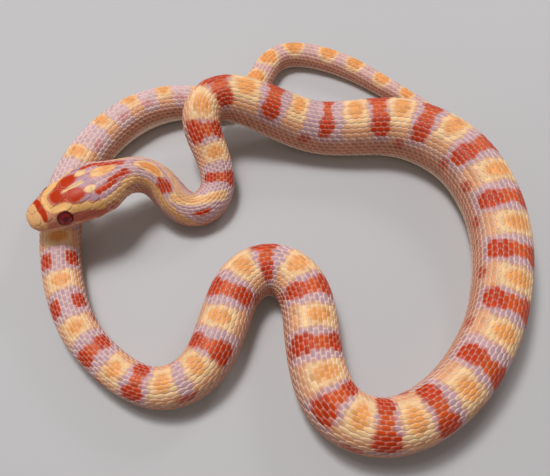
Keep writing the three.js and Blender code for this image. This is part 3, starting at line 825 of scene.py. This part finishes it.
# Plates on the middle of the head, then on one side: corners as distance from the snout and share round.
MIDDLE_PLATES = {
    "rostral": [(0.03, -0.49), (0.03, 0.49), (0.62, 0.485), (0.78, 0.3), (1.1, 0.0),
                (0.78, -0.3), (0.62, -0.485)],
    "frontal": [(4.35, -0.115), (4.25, 0.0), (4.35, 0.115), (6.1, 0.098), (7.25, 0.075),
                (8.05, 0.0), (7.25, -0.075), (6.1, -0.098)],
    "mental": [(0.03, 0.515), (0.75, 0.52), (0.95, 0.8), (1.35, 1.0), (0.95, 1.2),
               (0.75, 1.48), (0.03, 1.485)],
}
SIDE_PLATES = {
    "internasal": [(1.15, 0.0), (2.35, 0.0), (2.3, 0.2), (1.5, 0.3), (0.82, 0.29)],
    "prefrontal": [(2.35, 0.0), (4.22, 0.0), (4.32, 0.12), (4.1, 0.245), (3.1, 0.29),
                   (2.35, 0.235), (2.3, 0.2)],
    "supraocular": [(4.35, 0.12), (6.1, 0.103), (7.25, 0.08), (7.75, 0.19), (7.2, 0.235),
                    (5.7, 0.225), (4.35, 0.245)],
    "parietal": [(8.1, 0.0), (7.3, 0.08), (7.8, 0.19), (8.9, 0.225), (10.9, 0.205),
                 (11.9, 0.11), (11.7, 0.0)],
    "nasal_fore": [(0.82, 0.3), (1.5, 0.3), (1.72, 0.33), (1.7, 0.395), (0.7, 0.41)],
    "nasal_rear": [(1.55, 0.3), (2.35, 0.24), (2.9, 0.29), (2.85, 0.385), (1.76, 0.395),
                   (1.76, 0.33)],
    "loreal": [(2.95, 0.295), (3.95, 0.26), (4.05, 0.31), (4.0, 0.385), (2.9, 0.385)],
    "preocular": [(4.1, 0.25), (4.5, 0.235), (5.1, 0.22), (4.55, 0.33), (4.8, 0.4),
                  (4.05, 0.388)],
    "postocular_high": [(6.5, 0.225), (7.25, 0.24), (7.8, 0.195), (8.3, 0.25), (8.1, 0.305),
                        (6.9, 0.31)],
    "postocular_low": [(6.9, 0.315), (8.1, 0.31), (8.3, 0.375), (7.4, 0.415), (6.6, 0.405)],
    "temporal_a": [(8.35, 0.25), (8.9, 0.23), (10.0, 0.217), (10.3, 0.31), (8.15, 0.308)],
    "temporal_b": [(8.15, 0.313), (10.3, 0.315), (10.2, 0.39), (8.3, 0.375)],
    "temporal_c": [(10.05, 0.217), (10.95, 0.208), (11.9, 0.18), (12.1, 0.26), (10.35, 0.27)],
    "temporal_d": [(10.35, 0.275), (12.1, 0.265), (12.2, 0.33), (10.35, 0.335)],
    "temporal_e": [(10.35, 0.34), (12.2, 0.335), (12.4, 0.40), (10.25, 0.395)],
    "chin_fore": [(1.6, 1.0), (1.2, 0.83), (2.2, 0.74), (4.6, 0.76), (5.0, 0.88), (4.9, 1.0)],
    "chin_rear": [(5.0, 1.0), (5.1, 0.88), (4.7, 0.77), (6.4, 0.76), (8.2, 0.86), (7.6, 0.97)],
}
UPPER_LIP_CUTS = np.array([0.68, 1.75, 2.9, 4.05, 5.4, 6.75, 8.35, 10.3, 12.5])
UPPER_LIP_TOP = np.array([
    [0.7, 0.41], [3, 0.388], [4.8, 0.405], [5.7, 0.436], [6.7, 0.41], [8.3, 0.38], [12.5, 0.40],
])
LOWER_LIP_CUTS = np.array([0.8, 1.7, 2.6, 3.6, 4.7, 6.0, 7.4, 8.8, 10.2, 11.5])
LOWER_LIP_FLOOR = np.array([[0.8, 0.70], [2, 0.685], [5, 0.66], [8, 0.61], [11.5, 0.575]])
PLATE_GAP = 0.05
PLATE_STEP = 0.22
PLATE_RINGS = (1.0, 0.985, 0.93, 0.82, 0.68, 0.52, 0.36, 0.2, 0.06)
PLATE_HEIGHTS = (-0.06, 0.035, 0.09, 0.1, 0.1, 0.1, 0.1, 0.1, 0.1)
EYE_SHARE = 1 / 3
NOSTRIL_AT = 1.72
NOSTRIL_SHARE = 0.352
# Painted shade for the inside of the nostrils.
NOSTRIL_SHADE = linear(70, 22, 18)
EYE_HALF_ALONG = 1.3
EYE_HALF_SHARE = 0.108


def clear_of_eye(s, u):
    """Pushes points that fall in the eye's opening out to its rim."""
    for hand in (-1, 1):
        x = (s - EYE_OPENING_AT) / EYE_HALF_ALONG
        y = (u - hand * EYE_SHARE) / EYE_HALF_SHARE
        r = np.maximum(np.hypot(x, y), 1e-6)
        push = np.where(r < 1, 1 / r, 1.0)
        s = EYE_OPENING_AT + x * push * EYE_HALF_ALONG
        u = hand * EYE_SHARE + y * push * EYE_HALF_SHARE
    return s, u


def plate_outline(corners):
    """A closed outline in even steps with its corners rounded, in distance and share."""
    ring = np.array(corners, dtype=float)
    wide = float(np.interp(ring[:, 0].mean(), [0, 3, 6, 10, 14], [4.0, 9.5, 13.0, 15.0, 13.5]))
    scaled = ring * [1, wide]
    closed = np.vstack([scaled, scaled[:1]])
    steps = np.hypot(*np.diff(closed, axis=0).T)
    reach = np.concatenate([[0], np.cumsum(steps)])
    count = max(24, int(reach[-1] / PLATE_STEP))
    at = np.linspace(0, reach[-1], count, endpoint=False)
    outline = np.stack([np.interp(at, reach, closed[:, k]) for k in (0, 1)], axis=1)
    for _ in range(2):
        outline = (np.roll(outline, 1, axis=0) + 2 * outline + np.roll(outline, -1, axis=0)) / 4
    centre = outline.mean(axis=0)
    away = np.linalg.norm(outline - centre, axis=1, keepdims=True)
    outline = centre + (outline - centre) * (1 - PLATE_GAP / away)
    return outline / [1, wide], centre / [1, wide]


def head_plates(material):
    plates = [MIDDLE_PLATES[name] for name in MIDDLE_PLATES]
    sides = list(SIDE_PLATES.values())
    for low, high in zip(UPPER_LIP_CUTS[:-1], UPPER_LIP_CUTS[1:]):
        tops = np.linspace(low, high, 5)
        top = [(t, float(look_up(UPPER_LIP_TOP, t)) + 0.006) for t in tops]
        sides.append(top + [(high, 0.488), (low, 0.488)])
    for low, high in zip(LOWER_LIP_CUTS[:-1], LOWER_LIP_CUTS[1:]):
        floor_low = float(look_up(LOWER_LIP_FLOOR, low))
        floor_high = float(look_up(LOWER_LIP_FLOOR, high))
        sides.append([(low, 0.513), (high, 0.513), (high, floor_high), (low, floor_low)])
    for corners in sides:
        plates.append(corners)
        plates.append([(s, -u) for s, u in corners])
    points, tints, uv, quads = [], [], [], []
    offset = 0
    for corners in plates:
        outline, centre = plate_outline(corners)
        rings = np.array(PLATE_RINGS)[:, None, None]
        net = centre + (outline - centre)[None] * rings
        s, u = clear_of_eye(net[..., 0], net[..., 1])
        heights = np.array(PLATE_HEIGHTS)[:, None] + 0 * s
        nostril = np.exp(-((s - NOSTRIL_AT) / 0.17) ** 2 - ((np.abs(u) - NOSTRIL_SHARE) / 0.017) ** 2)
        point = surface_point(s, u, heights - 0.22 * nostril)
        # Painted shade: the nostril dent is darkened as shade inside the opening.
        tone = mix(marking(s, u), NOSTRIL_SHADE, np.clip(nostril * 1.3, 0, 1))
        rim = np.array([0.35, 0.3, 0.12, 0, 0, 0, 0, 0, 0])[:, None] + 0 * s
        tone = mix(tone, EDGE, rim * 0.8)
        rows, columns = s.shape
        number = np.arange(rows * columns).reshape(rows, columns)
        faces = ring_quads(number)
        last = number[-1]
        lid = [[last[k], last[columns - 1 - k], last[columns - 2 - k], last[k + 1]]
               for k in range(columns // 2 - 1)]
        place = np.stack([
            0.05 + 0.9 * s / HEAD_LENGTH,
            0.03 + 0.94 * np.mod(u + 0.5, 2.0) / 2,
        ], axis=-1)
        faces = turned_out(np.concatenate([faces, lid]), point, head_core)
        points.append(point.reshape(-1, 3))
        tints.append(tone.reshape(-1, 3))
        uv.append(place.reshape(-1, 2))
        quads.append(faces + offset)
        offset += rows * columns
    quads = np.concatenate(quads)
    uv = np.concatenate(uv)
    piece = build_mesh("head_plates", np.concatenate(points), quads, np.concatenate(tints),
                       uv[quads.ravel()], material)


def turned_out(faces, points, core):
    """The same faces with their fronts looking away from the core inside each."""
    corner = points.reshape(-1, 3)[faces]
    normal = np.cross(corner[:, 2] - corner[:, 0], corner[:, 3] - corner[:, 1])
    middle = corner.mean(axis=1)
    wrong = ((middle - core(middle)) * normal).sum(-1) < 0
    return np.where(wrong[:, None], faces[:, ::-1], faces)


def head_core(middle):
    """The place near the head's own axis that lies inside a point of its surface."""
    along = (middle - HEAD_FRONT) @ HEAD_ALONG * 0.8 + 1.2
    return head_point(along, 0 * along, 0 * along + 3.0)


def ring_quads(number):
    """Quads between closed rings of point numbers, one ring to a row."""
    after = np.roll(number, -1, axis=1)
    return np.stack([number[:-1], number[1:], after[1:], after[:-1]], axis=-1).reshape(-1, 4)


def end_cap(row):
    """Quads that close a ring of point numbers."""
    last = len(row) - 1
    return [[row[j], row[j + 1], row[last - 1 - j], row[last - j]] for j in range(len(row) // 2 - 1)]


SKIN_COLUMNS = 96
SKIN_HEAD_STEP = 0.1
SKIN_BODY_STEP = 0.46
SKIN_HEAD_END = 20.0


def skin_columns():
    """Shares round the body, closest together at the lips and the eyes."""
    fine = np.linspace(0, 1, 2001)
    density = 1 + 7 * np.exp(-((fine - 0.5) / 0.03) ** 2) + 1.2 * np.exp(-((fine - 0.33) / 0.12) ** 2)
    reach = np.concatenate([[0], np.cumsum((density[1:] + density[:-1]) / 2)])
    half = np.interp(np.linspace(0, reach[-1], SKIN_COLUMNS // 2 + 1), reach, fine)
    return np.concatenate([-half[:0:-1], half[:-1]])


def skin(material):
    rows = np.concatenate([
        np.linspace(0, 1, 20)[:-1] ** 2, np.arange(1.0, SKIN_HEAD_END, SKIN_HEAD_STEP),
        np.arange(SKIN_HEAD_END, BODY_LENGTH, SKIN_BODY_STEP), [BODY_LENGTH],
    ])
    rows[0] = 0.004
    columns = skin_columns()
    s, u = np.meshgrid(rows, columns, indexing="ij")
    points = surface_point(s, u, 0 * s)
    count = len(columns)
    number = np.arange(s.size).reshape(s.shape)
    quads = ring_quads(number)
    tone = marking(s, u)
    between = 0.6 * smoothstep(11.5, 14.0, s)
    tone = mix(tone, EDGE, between)
    # Lips' groove.
    groove_shade = np.exp(-((np.abs(u) - 0.5) / 0.012) ** 2) * (1 - smoothstep(11.5, 12.5, s))
    # Painted shade: the skin along the lips' groove is darkened as shade in the crease.
    tone = mix(tone, DEEP_RED * 0.6, groove_shade * 0.7)
    strip = strip_of((rows[:-1] + rows[1:]) / 2)
    u_low = np.broadcast_to(columns, (len(rows) - 1, count))
    u_high = np.append(columns[1:], 1.0 - 1e-9)
    u_high = np.broadcast_to(u_high, (len(rows) - 1, count))
    low = np.broadcast_to(rows[:-1, None], u_low.shape)
    high = np.broadcast_to(rows[1:, None], u_low.shape)
    k = np.broadcast_to(strip[:, None], u_low.shape)
    corner_uv = np.stack([unwrap(low, u_low, k), unwrap(high, u_low, k),
                          unwrap(high, u_high, k), unwrap(low, u_high, k)], axis=2)
    flat = points.reshape(-1, 3)
    caps = np.array(end_cap(number[0]) + end_cap(number[-1][::-1]))
    quads = np.concatenate([quads, caps])
    cap_uv = np.tile([0.002, 0.002], (len(caps), 4, 1))
    uv = np.concatenate([corner_uv.reshape(-1, 2), cap_uv.reshape(-1, 2)])
    piece = build_mesh("skin", flat, quads, tone.reshape(-1, 3), uv, material)
    return piece


def skin_material(name, roughness, coat):
    material = bpy.data.materials.new(name)
    material.use_nodes = True
    nodes = material.node_tree.nodes
    links = material.node_tree.links
    shader = nodes["Principled BSDF"]
    tint = nodes.new("ShaderNodeAttribute")
    tint.attribute_name = "Tint"
    links.new(tint.outputs["Color"], shader.inputs["Base Color"])
    shader.inputs["Roughness"].default_value = roughness
    shader.inputs["Coat Weight"].default_value = coat
    shader.inputs["Coat Roughness"].default_value = 0.22
    shader.inputs["Specular IOR Level"].default_value = 0.12
    return material


# Rings of an eyeball by angle from its axis, with the colour of each.
PUPIL = linear(104, 8, 16)
PUPIL_RIM = linear(178, 52, 42)
IRIS = linear(140, 20, 24)
IRIS_EDGE = linear(92, 10, 16)


def eye(name, node, hand, material):
    centre = head_point(EYE_ALONG, hand * EYE_ACROSS, EYE_HEIGHT)
    axis = eye_axis(hand)
    first = unit(np.cross(axis, HEAD_UP))
    second = np.cross(axis, first)
    polar = np.concatenate([np.linspace(0.01, 1.5, 40), np.linspace(1.55, math.pi - 0.01, 20)])
    turn = np.linspace(0, 2 * math.pi, 72, endpoint=False)
    p, t = np.meshgrid(polar, turn, indexing="ij")
    ray = (np.cos(p)[..., None] * axis + (np.sin(p) * np.cos(t))[..., None] * first
           + (np.sin(p) * np.sin(t))[..., None] * second)
    outwards = np.cos(p)[..., None] * axis
    points = centre + (ray - (1 - EYE_FLATNESS) * outwards) * EYE_RADIUS
    streak = 0.5 + 0.5 * np.sin(t * 19 + 3 * np.sin(t * 5))
    tone = mix(IRIS, PUPIL_RIM, 0.15 * streak)
    tone = mix(tone, IRIS_EDGE, smoothstep(0.62, 0.95, p))
    tone = mix(tone, PUPIL_RIM, np.exp(-((p - 0.44) / 0.05) ** 2) * 0.4)
    tone = mix(tone, PUPIL, 1 - smoothstep(0.36, 0.42, p))
    number = np.arange(p.size).reshape(p.shape)
    after = np.roll(number, -1, axis=1)
    quads = np.stack([number[:-1], after[:-1], after[1:], number[1:]], axis=-1).reshape(-1, 4)
    caps = np.array(end_cap(number[0]) + end_cap(number[-1]))
    quads = turned_out(np.concatenate([quads, caps]), points, lambda middle: centre)
    flat_uv = np.stack([0.5 + 0.45 * p / math.pi * np.cos(t), 0.5 + 0.45 * p / math.pi * np.sin(t)], axis=-1)
    piece = build_mesh(name, points.reshape(-1, 3), quads, tone.reshape(-1, 3),
                       flat_uv.reshape(-1, 2)[quads.ravel()], material)
    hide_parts(node)


def plain_material(name, colour, roughness):
    material = bpy.data.materials.new(name)
    material.use_nodes = True
    shader = material.node_tree.nodes["Principled BSDF"]
    shader.inputs["Base Color"].default_value = (*colour, 1)
    shader.inputs["Roughness"].default_value = roughness
    return material


def floor():
    bpy.ops.mesh.primitive_plane_add(size=30, location=(0, 0, 0))
    ground = bpy.context.object
    ground.name = "floor"
    ground.data.materials.append(plain_material("floor_grey", linear(188, 187, 189), 0.6))


def hang(name, lamp, place):
    """Puts a lamp at a place, shining at the origin."""
    thing = bpy.data.objects.new(name, lamp)
    thing.location = place
    thing.rotation_euler = mathutils.Vector(place).to_track_quat("Z", "Y").to_euler()
    bpy.context.collection.objects.link(thing)


def sun(name, place, strength):
    """Even light over the whole floor, from far off."""
    lamp = bpy.data.lights.new(name, type="SUN")
    lamp.energy = strength
    lamp.angle = math.radians(25)
    hang(name, lamp, place)


def light(name, place, size, watts):
    lamp = bpy.data.lights.new(name, type="AREA")
    lamp.shape = "DISK"
    lamp.size = size
    lamp.energy = watts
    hang(name, lamp, place)


CAMERA_PLACE = np.array([-1.2737, -61.0818, 100.0])
CAMERA_ELEVATION = 60.0
CAMERA_LENS = 42.545


def camera():
    lens = bpy.data.cameras.new("camera")
    lens.sensor_width = 36
    lens.lens = CAMERA_LENS
    lens.clip_start = 0.005
    eye_point = bpy.data.objects.new("camera", lens)
    eye_point.location = CAMERA_PLACE * MM
    eye_point.rotation_euler = (math.radians(90 - CAMERA_ELEVATION), 0, 0)
    bpy.context.collection.objects.link(eye_point)
    bpy.context.scene.camera = eye_point


def world():
    surroundings = bpy.data.worlds.new("studio")
    surroundings.use_nodes = True
    back = surroundings.node_tree.nodes["Background"]
    back.inputs["Color"].default_value = (*linear(220, 214, 208), 1)
    back.inputs["Strength"].default_value = 0.36
    bpy.context.scene.world = surroundings
    bpy.context.scene.view_settings.view_transform = "Standard"


RANDOM = np.random.default_rng(7)
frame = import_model()

scaly = skin_material("scaly_skin", 0.42, 0.05)
under = skin_material("under_skin", 0.55, 0.05)
covering = skin(under)
flesh = [name for name in frame["nodes"] if not name.startswith("eye")]
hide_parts(*flesh)
dorsal_scales(scaly)
belly_scutes(scaly)
head_plates(scaly)
glossy = skin_material("eye_gloss", 0.06, 0.6)
eye("eyeball_left", "eye_left", -1, glossy)
eye("eyeball_right", "eye_right", 1, glossy)

floor()
world()
light("key", (-0.10, 0.14, 0.40), 0.10, 0.8)
light("rim", (0.20, 0.30, 0.22), 0.10, 0.25)
sun("daylight", (-0.3, 0.35, 1.0), 0.95)
camera()
